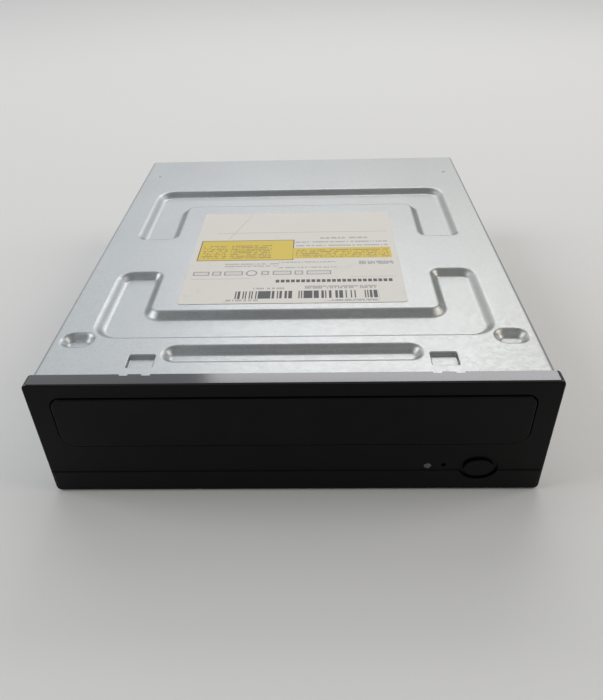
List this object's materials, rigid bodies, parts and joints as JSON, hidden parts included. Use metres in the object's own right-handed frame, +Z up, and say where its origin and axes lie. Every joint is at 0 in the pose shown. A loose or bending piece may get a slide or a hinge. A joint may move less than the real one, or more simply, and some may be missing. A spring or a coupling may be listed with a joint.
{
  "type": "internal disc writer",
  "caption": "Half-height internal DVD writer: stamped steel case, black front plate, sliding disc tray with gears, tilting disc mechanism.",
  "frame": {"origin": "middle of the bottom, on the surface the drive rests on", "axes": "+X across to the eject button's side, +Y from the front plate to the rear, +Z up"},
  "size_m": [0.1482, 0.1752, 0.042],
  "materials": {
    "zinc_steel": "zinc-coated sheet steel, fine grain",
    "pan_steel": "zinc-coated sheet steel",
    "black_plastic": "fine moulded black plastic",
    "frame_plastic": "moulded plastic",
    "tray_plastic": "moulded black plastic",
    "gear_plastic": "natural acetal plastic",
    "label_paper": "printed paper label",
    "clear_lens": "clear moulded plastic",
    "screw_steel": "plated steel",
    "board_green": "solder mask on laminate",
    "chip_black": "moulded chip packages",
    "socket_black": "moulded connector shell",
    "pin_gold": "gold-plated contacts",
    "lamp_white": "lamp body",
    "motor_steel": "plated steel can",
    "belt_rubber": "black rubber",
    "polished_steel": "ground steel",
    "turntable_plastic": "moulded plastic",
    "magnet_steel": "plated magnet",
    "pickup_casting": "die-cast metal",
    "pickup_cover": "black metal cover",
    "lens_plastic": "moulded lens holder"
  },
  "bodies": {
    "chassis": {"top_cover": "zinc_steel", "bottom_cover": "pan_steel", "front_bezel": "black_plastic", "rating_label": "label_paper", "led_lens": "clear_lens", "main_frame": "frame_plastic", "clamp_bridge": "pan_steel", "bridge_screws": "screw_steel", "case_screws": "screw_steel", "main_board": "board_green", "board_chips": "chip_black", "data_socket": "socket_black", "socket_pins": "pin_gold", "board_screws": "screw_steel", "front_board": "board_green", "eject_switch": "chip_black", "status_lamp": "lamp_white", "loading_motor": "motor_steel", "drive_belt": "belt_rubber"},
    "tray": {"tray_door": "black_plastic", "disc_tray": "tray_plastic"},
    "tray_gear": {"tray_gear": "gear_plastic"},
    "pulley_gear": {"pulley_gear": "gear_plastic"},
    "motor_pulley": {"motor_pulley": "gear_plastic", "motor_shaft": "polished_steel"},
    "eject_button": {"eject_button": "black_plastic"},
    "mechanism": {"lifter_frame": "frame_plastic", "deck_plate": "pan_steel", "rubber_dampers": "belt_rubber", "damper_screws": "screw_steel", "guide_rods": "polished_steel", "spindle_motor": "motor_steel", "sled_motor": "motor_steel"},
    "spindle": {"spindle_rotor": "motor_steel", "spindle_shaft": "polished_steel", "turntable": "turntable_plastic", "turntable_pad": "belt_rubber"},
    "clamper": {"clamper": "gear_plastic", "clamp_magnet": "magnet_steel"},
    "pickup": {"pickup_base": "pickup_casting", "actuator_cover": "pickup_cover", "lens_holder": "lens_plastic", "objective_lens": "clear_lens"},
    "lead_screw": {"lead_screw": "polished_steel"},
    "cam_slider": {"cam_slider": "gear_plastic"}
  },
  "joints": [
    {"name": "tray_slide", "type": "slide", "parent": "chassis", "child": "tray", "axis": [0, -1, 0], "range_m": [0, 0.14]},
    {"name": "tray_gear_turn", "type": "hinge", "parent": "chassis", "child": "tray_gear", "pos_m": [0.045, -0.0635, 0.024], "axis": [0, 0, 1], "continuous": true},
    {"name": "pulley_gear_turn", "type": "hinge", "parent": "chassis", "child": "pulley_gear", "pos_m": [0.024, -0.0635, 0.024], "axis": [0, 0, 1], "continuous": true},
    {"name": "motor_turn", "type": "hinge", "parent": "chassis", "child": "motor_pulley", "pos_m": [-0.005, -0.0635, 0.024], "axis": [0, 0, 1], "continuous": true},
    {"name": "eject_press", "type": "slide", "parent": "chassis", "child": "eject_button", "axis": [0, 1, 0], "range_m": [0, 0.0012], "stiffness_N_per_m": 300},
    {"name": "mechanism_tilt", "type": "hinge", "parent": "chassis", "child": "mechanism", "pos_m": [0, 0.072, 0.018], "axis": [1, 0, 0], "range_deg": [0, 3.47]},
    {"name": "cam_slide", "type": "slide", "parent": "chassis", "child": "cam_slider", "axis": [1, 0, 0], "range_m": [0, 0.014]},
    {"name": "spindle_turn", "type": "hinge", "parent": "mechanism", "child": "spindle", "pos_m": [0, -0.0139, 0.03], "axis": [0, 0, 1], "continuous": true},
    {"name": "clamper_turn", "type": "hinge", "parent": "chassis", "child": "clamper", "pos_m": [0, -0.0139, 0.038], "axis": [0, 0, 1], "continuous": true},
    {"name": "pickup_slide", "type": "slide", "parent": "mechanism", "child": "pickup", "axis": [0, 1, 0], "range_m": [0, 0.035]},
    {"name": "lead_screw_turn", "type": "hinge", "parent": "mechanism", "child": "lead_screw", "pos_m": [0.036, 0.03, 0.0146], "axis": [0, 1, 0], "continuous": true}
  ],
  "couplings": [
    {"joint": "tray_gear_turn", "follows": "tray_slide", "rad_per_m": -145.45},
    {"joint": "pulley_gear_turn", "follows": "tray_slide", "rad_per_m": 465.45},
    {"joint": "motor_turn", "follows": "tray_slide", "rad_per_m": 1706.7},
    {"joint": "cam_slide", "follows": "mechanism_tilt", "m_per_rad": 0.23116},
    {"joint": "clamper_turn", "follows": "spindle_turn", "ratio": 1},
    {"joint": "lead_screw_turn", "follows": "pickup_slide", "rad_per_m": 2094.4}
  ]
}
